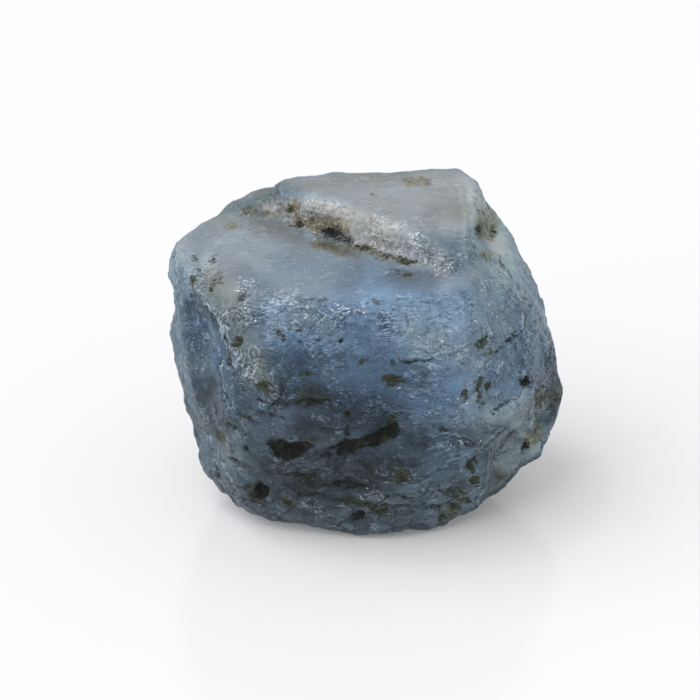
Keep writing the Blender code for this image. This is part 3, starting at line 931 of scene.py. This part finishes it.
class Recipe:
    """Adds shader nodes to one tree and wires them."""

    def __init__(self, tree):
        self.tree = tree

    def node(self, kind, settings=None, inputs=None):
        """A new node, with its settings made and its inputs fed."""
        made = self.tree.nodes.new("ShaderNode" + kind)
        for name, value in (settings or {}).items():
            setattr(made, name, value)
        for name, value in (inputs or {}).items():
            self.feed(made.inputs[name], value)
        return made

    def feed(self, socket, value):
        """Sets a socket to a number or colour, or wires an output to it."""
        if isinstance(value, bpy.types.NodeSocket):
            self.tree.links.new(value, socket)
        elif socket.type == "RGBA" and len(value) == 3:
            socket.default_value = (*value, 1)
        else:
            socket.default_value = value

    def worked(self, kind, operation, values):
        """The result of one operation of a math node of this kind."""
        made = self.node(kind, {"operation": operation})
        for socket, value in zip(made.inputs, values):
            self.feed(socket, value)
        return made.outputs[0]

    def math(self, operation, *values):
        return self.worked("Math", operation, values)

    def vector(self, operation, *values):
        return self.worked("VectorMath", operation, values)

    def times(self, first, second):
        return self.math("MULTIPLY", first, second)

    def minus(self, first, second):
        return self.math("SUBTRACT", first, second)

    def larger(self, first, second):
        return self.math("MAXIMUM", first, second)

    def added(self, value, share, total):
        """The total with a share of a value added to it."""
        return self.math("MULTIPLY_ADD", value, share, total)

    def scaled(self, vector, share):
        """A vector or colour times a number."""
        return self.node("VectorMath", {"operation": "SCALE"}, {"Vector": vector, "Scale": share}).outputs[0]

    def centred(self, value):
        """A value from 0 to 1, moved to lie about 0."""
        return self.minus(value, 0.5)

    def fade(self, value, low, high, to_low=0.0, to_high=1.0):
        """One number below low, another above high, and smooth between them."""
        inputs = {"Value": value, "From Min": low, "From Max": high, "To Min": to_low, "To Max": to_high}
        return self.node("MapRange", {"interpolation_type": "SMOOTHSTEP"}, inputs).outputs["Result"]

    def contour(self, value, level, half_width):
        """A thin line where a value passes a level."""
        away = self.math("ABSOLUTE", self.minus(value, level))
        return self.fade(away, 0.3 * half_width, half_width, 1.0, 0.0)

    def blend(self, share, under, over, kind="MIX"):
        """A share of one colour laid over another."""
        made = self.node("Mix", {"data_type": "RGBA", "blend_type": kind, "clamp_factor": True})
        for index, value in ((0, share), (6, under), (7, over)):
            self.feed(made.inputs[index], value)
        return made.outputs[2]

    def between(self, share, low, high):
        """The number that lies at a share of the way from low to high."""
        made = self.node("Mix", {"data_type": "FLOAT"})
        for index, value in ((0, share), (2, low), (3, high)):
            self.feed(made.inputs[index], value)
        return made.outputs[0]

    def cloud(self, place, size, detail=3.0, roughness=0.55):
        """Cloudy noise with lumps of this size, in millimetres."""
        inputs = {"Vector": place, "Scale": 1 / (size * MM), "Detail": detail, "Roughness": roughness}
        return self.node("TexNoise", None, inputs).outputs[0]

    def warped(self, spot, size, reach):
        """The place after noise of this size has moved it by up to this reach, both in millimetres."""
        swirl = self.node("TexNoise", None, {"Vector": spot, "Scale": 1 / (size * MM), "Detail": 2.0})
        return self.vector("MULTIPLY_ADD", swirl.outputs["Color"], (reach * MM,) * 3, spot)

    def field(self, name):
        """A value that the mesh keeps for each point."""
        return self.node("Attribute", {"attribute_name": name}).outputs["Fac"]

    def group(self, tree, inputs):
        """What a node group puts out for these inputs."""
        return self.node("Group", {"node_tree": tree}, inputs).outputs


def open_group(name, inputs, outputs):
    """An empty node group with these sockets: its recipe, what it is given and what it puts out."""
    tree = bpy.data.node_groups.new(name, "ShaderNodeTree")
    for way, sockets in (("INPUT", inputs), ("OUTPUT", outputs)):
        for socket, kind in sockets.items():
            tree.interface.new_socket(socket, in_out=way, socket_type="NodeSocket" + kind)
    given = tree.nodes.new("NodeGroupInput")
    result = tree.nodes.new("NodeGroupOutput")
    return Recipe(tree), given.outputs, result.inputs


# What a group is given whose pattern runs along a direction.
LAID = {"Place": "Vector", "Direction": "Vector", "Size": "Vector"}


def laid_place(recipe, given):
    """A group's place, turned and scaled so that its pattern runs along its direction."""
    inputs = {"Vector": given["Place"], "Rotation": given["Direction"], "Scale": given["Size"]}
    return recipe.node("Mapping", {"vector_type": "TEXTURE"}, inputs).outputs[0]


def streak_group():
    """Grain lines of a given length and width along one direction of the stone."""
    recipe, given, result = open_group("grain_lines", {**LAID, "Detail": "Float"}, {"Lines": "Float"})
    inputs = {"Vector": laid_place(recipe, given), "Detail": given["Detail"], "Scale": 1.0}
    recipe.feed(result["Lines"], recipe.node("TexNoise", None, inputs).outputs[0])
    return recipe.tree


def step_group():
    """Wavy growth steps of a given spacing: their height, and where their lip gets painted highlight and
    their foot painted shade.
    """
    outputs = {"Height": "Float", "Lip": "Float", "Foot": "Float"}
    recipe, given, result = open_group("growth_steps", {**LAID, "Waves": "Float"}, outputs)
    place = laid_place(recipe, given)
    waves = recipe.node("TexNoise", None, {"Vector": place, "Scale": 0.45, "Detail": 3.0, "Roughness": 0.6})
    across = recipe.node("SeparateXYZ", None, {"Vector": place}).outputs
    level = recipe.math("ADD", across[2], recipe.times(across[1], 0.4))
    rise = recipe.math("FRACT", recipe.added(waves.outputs[0], given["Waves"], level))
    recipe.feed(result["Height"], rise)
    recipe.feed(result["Lip"], recipe.fade(rise, 0.74, 0.96))
    recipe.feed(result["Foot"], recipe.fade(rise, 0.0, 0.2, 1.0, 0.0))
    return recipe.tree


def facet_group():
    """Small facets along one direction, each with its own shade and tilt, and their borders."""
    outputs = {"Shade": "Float", "Tilt": "Vector", "Border": "Float"}
    recipe, given, result = open_group("small_facets", LAID, outputs)
    cells = {"Vector": laid_place(recipe, given), "Scale": 1.0}
    chance = recipe.node("TexVoronoi", None, cells).outputs["Color"]
    rims = recipe.node("TexVoronoi", {"feature": "DISTANCE_TO_EDGE"}, cells).outputs["Distance"]
    recipe.feed(result["Shade"], recipe.node("SeparateColor", None, {"Color": chance}).outputs[0])
    recipe.feed(result["Tilt"], recipe.vector("SUBTRACT", chance, (0.5, 0.5, 0.5)))
    recipe.feed(result["Border"], recipe.fade(rims, 0.02, 0.11, 1.0, 0.0))
    return recipe.tree


def speck_group():
    """Scattered specks: a share of the cells of a given size holds one."""
    inputs = {"Place": "Vector", "Density": "Float", "Share": "Float", "Radius": "Float"}
    recipe, given, result = open_group("scattered_specks", inputs, {"Specks": "Float"})
    cells = recipe.node("TexVoronoi", None, {"Vector": given["Place"], "Scale": given["Density"]}).outputs
    chance = recipe.node("SeparateColor", None, {"Color": cells["Color"]}).outputs
    chosen = recipe.math("LESS_THAN", chance[0], given["Share"])
    wide = recipe.times(given["Radius"], recipe.math("ADD", chance[1], 0.4))
    near = recipe.minus(1.0, recipe.math("DIVIDE", cells["Distance"], wide))
    recipe.feed(result["Specks"], recipe.times(chosen, recipe.fade(near, 0.0, 0.35)))
    return recipe.tree


def laid(place, direction, length, width):
    """What to give a group whose pattern runs along a direction, with its length and width in millimetres."""
    turn = Vector(direction).to_track_quat("X", "Z").to_euler()
    return {"Place": place, "Direction": turn, "Size": (length * MM, width * MM, width * MM)}


class StoneRecipe(Recipe):
    """The stone's finish, from its patterns and from the fields that its mesh keeps."""

    def __init__(self, tree, look):
        super().__init__(tree)
        self.look = look
        self.streaks = streak_group()
        self.specks = speck_group()
        self.facets = facet_group()
        self.steps = step_group()
        self.calm = self.field("flat")
        self.chipped = self.field("chipped")
        self.blueness = self.field("blueness")
        self.spot = self.node("TexCoord").outputs["Object"]
        self.place = self.warped(self.spot, size=2.6, reach=1.6)
        self.wavy = self.warped(self.place, size=0.7, reach=0.2)
        self.combed = self.warped(self.spot, size=1.3, reach=0.3)
        self.clouds = self.cloud(self.place, size=2.4, detail=5.0, roughness=0.62)
        self.mottle = self.cloud(self.wavy, size=0.55, detail=5.0, roughness=0.7)
        self.crumbs = self.cloud(self.spot, size=0.2)
        self.patchy = self.fade(self.mottle, 0.42, 0.58)
        self.grain = self.lines(length=1.5, width=0.25, detail=4.0)
        self.silk = self.lines(length=0.6, width=0.085, detail=3.0)
        self.wide_chips = self.chips(length=0.95, width=0.5)
        self.fine_chips = self.chips(length=0.3, width=0.15)
        self.tiny_chips = self.chips(length=0.12, width=0.058)
        self.draw_threads()
        self.draw_steps()

    def lines(self, length, width, detail):
        """Grain lines that run level, steeply or along the slope, as the fields say."""

        def run(place, direction, stretch=1.0):
            inputs = {**laid(place, direction, stretch * length, width), "Detail": detail}
            return self.group(self.streaks, inputs)["Lines"]

        across = self.between(self.field("steep"), run(self.wavy, LEVEL), run(self.wavy, STEEP))
        return self.between(self.field("slope"), across, run(self.combed, ALONG_SLOPE, SLOPE_STRETCH))

    def growth(self, length, spacing):
        """Growth steps that run level or steeply: their height, their lip and their foot."""
        level, steep = (
            self.group(self.steps, {**laid(self.place, direction, length, spacing), "Waves": STEP_WAVES})
            for direction in (LEVEL, STEEP)
        )
        side = self.field("steep")
        return [self.between(side, level[name], steep[name]) for name in ("Height", "Lip", "Foot")]

    def chips(self, length, width):
        """Small facets that run level: their shade, tilt and border."""
        return self.group(self.facets, laid(self.wavy, LEVEL, length, width))

    def scattered(self, spacing, share, radius):
        """Specks in this share of cells that lie this many millimetres apart."""
        inputs = {"Place": self.wavy, "Density": 1 / (spacing * MM), "Share": share, "Radius": radius}
        return self.group(self.specks, inputs)["Specks"]

    def draw_threads(self):
        """Pale threads in patches, partly pale veins and partly painted highlight on thin ridges, and beside
        them painted shadow in dark creases, fainter there.
        """
        wisp = self.lines(length=2.3, width=0.33, detail=2.0)
        swirls = self.cloud(self.wavy, size=0.5, detail=2.5)
        swirled = self.times(self.contour(swirls, 0.5, 0.035), 0.8)
        self.threads = self.times(self.larger(self.contour(wisp, 0.5, 0.045), swirled), self.patchy)
        swirled = self.times(self.contour(swirls, 0.55, 0.04), 0.8)
        crease_shadows = self.larger(self.contour(wisp, 0.56, 0.05), swirled)
        self.crease_shadows = self.times(crease_shadows, self.between(self.minus(1.0, self.patchy), 0.35, 1.0))

    def draw_steps(self):
        """Wide and small growth steps, each with a painted highlight on its lip and painted shade at its
        foot.
        """
        rise, lip, foot = self.growth(length=1.3, spacing=0.42)
        self.rise = self.times(rise, self.patchy)
        self.edges = self.times(self.minus(lip, foot), self.patchy)
        self.small_rise, lip, foot = self.growth(length=0.5, spacing=0.17)
        self.small_edges = self.times(self.minus(lip, foot), self.fade(self.clouds, 0.35, 0.6))

    def body(self):
        """The tone and colour of the milky stone."""
        tone = self.field("tone")
        for part, strength, calmed in (
            (self.clouds, 0.08, 0.12), (self.grain, 0.07, 0.08), (self.mottle, 0.08, 0.06),
            (self.wide_chips["Shade"], 0.03, 0.0),
        ):
            tone = self.added(self.centred(part), self.between(self.calm, strength, calmed), tone)
        tone = self.added(self.centred(self.wide_chips["Shade"]), self.times(self.chipped, 0.09), tone)
        tone = self.larger(tone, DARKEST_TONE)
        hue = self.blend(self.calm, self.look.green, self.look.grey)
        hue = self.blend(self.added(self.centred(self.clouds), 0.5, self.blueness), hue, self.look.blue)
        # On the bare slope the hue turns to the silk hue, its own greyer colour with painted silky sheen.
        hue = self.blend(self.times(self.field("bare"), 0.85), hue, self.look.silk)
        return tone, self.scaled(hue, self.times(self.times(tone, tone), self.look.lightness))

    def texture(self):
        """How much lighter or darker the fine texture makes each spot, with painted highlight and shade on
        its threads, creases, steps and sharp edges.
        """
        fine = self.times(self.centred(self.silk), 1.35)
        for part, strength in ((self.fine_chips["Shade"], 0.1), (self.tiny_chips["Shade"], 0.8)):
            fine = self.added(self.centred(part), strength, fine)
        for part, strength in (
            (self.threads, 0.44), (self.crease_shadows, -0.22), (self.edges, 0.14), (self.small_edges, 0.2),
        ):
            fine = self.added(part, strength, fine)
        borders = self.times(self.chipped, self.fade(self.grain, 0.4, 0.56))
        fine = self.added(self.times(self.wide_chips["Border"], borders), -1.0, fine)
        broad = self.fade(self.cloud(self.place, size=1.4), 0.38, 0.62, 0.45, 1.5)
        fine = self.times(fine, self.times(self.field("crisp"), broad))
        return self.added(self.edge_light(), self.field("edge"), fine)

    def edge_light(self):
        """The lit side of the sharp edges, less their shaded side."""
        side = self.added(self.centred(self.crumbs), 0.12, self.field("side"))
        lit = self.times(self.fade(side, -0.01, 0.02), self.fade(side, 0.035, 0.1, 1.1, 0.0))
        shaded = self.times(self.fade(side, -0.03, 0.0, 1.0, 0.0), self.fade(side, -0.3, -0.08, 0.0, 0.6))
        return self.times(self.minus(lit, shaded), self.fade(self.mottle, 0.35, 0.55, 0.5, 1.3))

    def with_texture_and_painted_light(self, colour, tone):
        """The colour with dark spots and pale threads on it, which carry the fine texture's painted shade and
        painted highlights.
        """
        fine = self.texture()
        # The dark share darkens toward the dark spot colour: dark grain and painted shade.
        dark = self.fade(fine, -0.9, 0.0, 1.0, 0.0)
        colour = self.blend(self.times(dark, 0.74), colour, DARK_SPOTS_AND_SHADE)
        # The light share lightens toward the thread colours: pale veins and painted highlights.
        light = self.times(self.fade(fine, 0.0, 0.9), self.fade(tone, 0.1, 0.5, 0.1, 0.75))
        pale = self.blend(self.blueness, self.look.chalk, self.look.pale)
        # On the slope the pale threads take the silver of the painted sheen.
        return self.blend(light, colour, self.blend(self.field("slope"), pale, self.look.silver))

    def stained(self, colour):
        """The colour with the iron stain on it."""
        stain = self.fade(self.added(self.centred(self.mottle), 0.7, self.field("stain")), -0.12, 0.12)
        dirt = self.blend(self.fade(self.crumbs, 0.4, 0.62), self.look.rust, self.look.ochre)
        return self.blend(self.times(stain, 0.85), colour, dirt, "MULTIPLY")

    def inclusions(self):
        """How much of each spot is olive grain, and how much is pit."""
        shade = self.fine_chips["Shade"]
        broken = self.added(self.centred(self.crumbs), 0.4, self.times(self.centred(shade), 0.14))
        olive = self.fade(self.math("ADD", broken, self.field("olive")), -0.04, 0.04)
        olive = self.larger(olive, self.times(self.scattered(spacing=1.1, share=0.16, radius=0.14), 0.7))
        olive = self.times(olive, self.fade(shade, 0.04, 0.22, 0.45, 1.0))
        pit = self.fade(self.math("ADD", broken, self.field("pit")), -0.05, 0.08)
        pit = self.larger(pit, self.times(self.scattered(spacing=0.6, share=0.12, radius=0.12), 0.6))
        pit = self.times(pit, self.between(self.calm, 1.0, 0.6))
        return olive, self.times(pit, self.fade(shade, 0.0, 0.2, 0.7, 1.0))

    def included(self, colour, olive, pit):
        """The colour with the olive grains and the pits in it; the pits' near-black fill is partly dark
        inclusion and partly painted shade in the recesses.
        """
        speckled = self.added(self.centred(self.tiny_chips["Shade"]), 0.35, self.crumbs)
        inside = self.blend(self.fade(speckled, 0.4, 0.62, 0.0, 1.3), self.look.pit, self.look.olive)
        colour = self.blend(self.times(olive, 0.93), colour, inside)
        inside = self.blend(self.fade(self.mottle, 0.5, 0.7, 0.0, 0.8), self.look.pit, self.look.olive)
        return self.blend(self.times(pit, 0.92), colour, inside)

    def with_painted_glints(self, colour, olive, pit):
        """The colour with painted glints on it: bright silver flecks, fainter over grains and pits."""
        # Painted glints: a share of the tiny chips turns silver, more of them where the stone sparkles.
        crowd = self.times(self.field("sparkle"), self.fade(self.mottle, 0.44, 0.58, 0.1, 1.1))
        painted_glint = self.fade(self.added(crowd, 0.26, self.tiny_chips["Shade"]), 1.02, 1.05)
        painted_glint = self.times(painted_glint, self.fade(self.larger(pit, olive), 0.0, 1.0, 1.0, 0.5))
        return self.blend(self.times(painted_glint, self.look.glint), colour, self.look.silver)

    def roughness(self, pit):
        """The roughness, which is less where the stone sparkles and more in its pits."""
        rough = self.added(self.centred(self.mottle), 0.5, self.look.roughness)
        rough = self.added(self.field("sparkle"), -0.15, rough)
        return self.between(pit, rough, 0.7)

    def normal(self):
        """The normal, with the fine relief and each facet's own tilt."""
        height = self.times(self.grain, 0.25)
        for part, strength in (
            (self.silk, 0.12), (self.crumbs, 0.4), (self.mottle, 0.6), (self.rise, 0.7),
            (self.small_rise, 0.3), (self.threads, 0.3),
        ):
            height = self.added(part, strength, height)
        height = self.times(height, self.between(self.calm, 1.0, 0.35))
        bump = self.node("Bump", None, {"Strength": 1.0, "Distance": BUMP_HEIGHT * MM, "Height": height})
        normal = bump.outputs[0]
        for facets, reach in ((self.wide_chips, 0.2), (self.fine_chips, 0.3), (self.tiny_chips, 0.4)):
            tilt = self.scaled(facets["Tilt"], self.between(self.calm, reach, 0.2 * reach))
            normal = self.vector("ADD", normal, tilt)
        return self.vector("NORMALIZE", normal)


def sapphire_finish(look):
    """Milky grey-blue corundum with silky grain, olive grains, pits and glints."""
    material = bpy.data.materials.new("milky_sapphire")
    material.use_nodes = True
    recipe = StoneRecipe(material.node_tree, look)
    tone, colour = recipe.body()
    olive, pit = recipe.inclusions()
    colour = recipe.stained(recipe.with_texture_and_painted_light(colour, tone))
    colour = recipe.with_painted_glints(recipe.included(colour, olive, pit), olive, pit)
    shader = material.node_tree.nodes["Principled BSDF"]
    for name, value in (
        ("Base Color", colour),
        ("Roughness", recipe.roughness(pit)),
        ("Normal", recipe.normal()),
        ("IOR", look.ior),
        ("Specular IOR Level", look.lustre),
        ("Subsurface Weight", look.milkiness),
        ("Subsurface Radius", (0.6, 0.8, 1.0)),
        ("Subsurface Scale", GLOW_DEPTH * MM),
    ):
        recipe.feed(shader.inputs[name], value)
    return material


def floor_finish(studio):
    """Plain white acrylic with a faint gloss."""
    material = bpy.data.materials.new("white_floor")
    material.use_nodes = True
    shader = material.node_tree.nodes["Principled BSDF"]
    shader.inputs["Base Color"].default_value = (*studio.floor, 1)
    shader.inputs["Roughness"].default_value = 0.15
    shader.inputs["Specular IOR Level"].default_value = 0.4
    shader.inputs["Emission Color"].default_value = WHITE
    shader.inputs["Emission Strength"].default_value = studio.glow
    return material


def far_light(name, towards, spread, strength):
    """A far lamp in a direction from the stone, which looks this many degrees wide."""
    light = bpy.data.lights.new(name, "SUN")
    light.angle = math.radians(spread)
    light.energy = strength
    lamp = bpy.data.objects.new(name, light)
    bpy.context.scene.collection.objects.link(lamp)
    lamp.location = Vector(towards).normalized() * LAMP_DISTANCE
    lamp.rotation_euler = Vector(towards).to_track_quat("Z", "Y").to_euler()


def make_camera():
    """The camera at the picture's angle."""
    data = bpy.data.cameras.new("camera")
    data.sensor_width = SENSOR_WIDTH
    data.lens = SENSOR_WIDTH * CAMERA_DISTANCE / PICTURE_WIDTH
    data.clip_start = CLIP_START
    data.clip_end = CLIP_END
    camera = bpy.data.objects.new("camera", data)
    bpy.context.scene.collection.objects.link(camera)
    place = camera_place()
    camera.location = place * MM
    camera.rotation_euler = (CAMERA_TARGET - place).to_track_quat("-Z", "Y").to_euler()
    bpy.context.scene.camera = camera


class SAPPHIRE_OT_stone(bpy.types.Operator):
    """Model the worn stone round its solid and give it its finish"""

    bl_idname = "sapphire.stone"
    bl_label = "Stone"

    def execute(self, context):
        stone = even_copy(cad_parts[NODE], context.scene.sapphire_shape.grain)
        weather(stone, context.scene.sapphire_shape)
        stone.data.shade_smooth()
        stone.data.materials.clear()
        stone.data.materials.append(sapphire_finish(context.scene.sapphire_finish))
        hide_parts(NODE)
        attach(stone, "root")
        return {"FINISHED"}


class SAPPHIRE_OT_stage(bpy.types.Operator):
    """Set up the floor, the lights and the camera"""

    bl_idname = "sapphire.stage"
    bl_label = "Stage"

    def execute(self, context):
        studio = context.scene.sapphire_studio
        mesh = bmesh.new()
        bmesh.ops.create_grid(mesh, x_segments=1, y_segments=1, size=FLOOR_REACH)
        data = bpy.data.meshes.new("floor")
        mesh.to_mesh(data)
        mesh.free()
        data.materials.append(floor_finish(studio))
        floor = bpy.data.objects.new("floor", data)
        context.scene.collection.objects.link(floor)
        far_light("key", (-0.65, -0.15, 0.75), 75, studio.key)
        far_light("spark_high", (-0.35, 0.1, 0.9), 8, studio.spark)
        far_light("spark_left", (-0.6, -0.7, 0.35), 8, studio.spark)
        world = bpy.data.worlds.new("studio")
        context.scene.world = world
        world.use_nodes = True
        background = world.node_tree.nodes["Background"]
        background.inputs["Strength"].default_value = studio.fill
        background.inputs["Color"].default_value = WHITE
        context.scene.view_settings.view_transform = "Standard"
        make_camera()
        return {"FINISHED"}


class SAPPHIRE_PT_panel(bpy.types.Panel):
    """The stone's settings and operators"""

    bl_idname = "SAPPHIRE_PT_panel"
    bl_label = "Rough Sapphire"
    bl_space_type = "VIEW_3D"
    bl_region_type = "UI"
    bl_category = "Sapphire"

    def draw(self, context):
        for title, settings, operator in (
            ("Shape", "sapphire_shape", None),
            ("Finish", "sapphire_finish", SAPPHIRE_OT_stone),
            ("Studio", "sapphire_studio", SAPPHIRE_OT_stage),
        ):
            box = self.layout.box()
            box.label(text=title)
            group = getattr(context.scene, settings)
            for name in group.__annotations__:
                box.prop(group, name)
            if operator:
                box.operator(operator.bl_idname)


CLASSES = (StoneShape, StoneFinish, Studio, SAPPHIRE_OT_stone, SAPPHIRE_OT_stage, SAPPHIRE_PT_panel)


def register():
    """Makes the classes and their settings known to Blender."""
    for item in CLASSES:
        bpy.utils.register_class(item)
    bpy.types.Scene.sapphire_shape = PointerProperty(type=StoneShape)
    bpy.types.Scene.sapphire_finish = PointerProperty(type=StoneFinish)
    bpy.types.Scene.sapphire_studio = PointerProperty(type=Studio)


def unregister():
    """Takes back what register did."""
    del bpy.types.Scene.sapphire_studio
    del bpy.types.Scene.sapphire_finish
    del bpy.types.Scene.sapphire_shape
    for item in reversed(CLASSES):
        bpy.utils.unregister_class(item)


def main():
    """Makes the stone and its stage."""
    register()
    bpy.ops.sapphire.stone()
    bpy.ops.sapphire.stage()


if __name__ == "__main__":
    main()
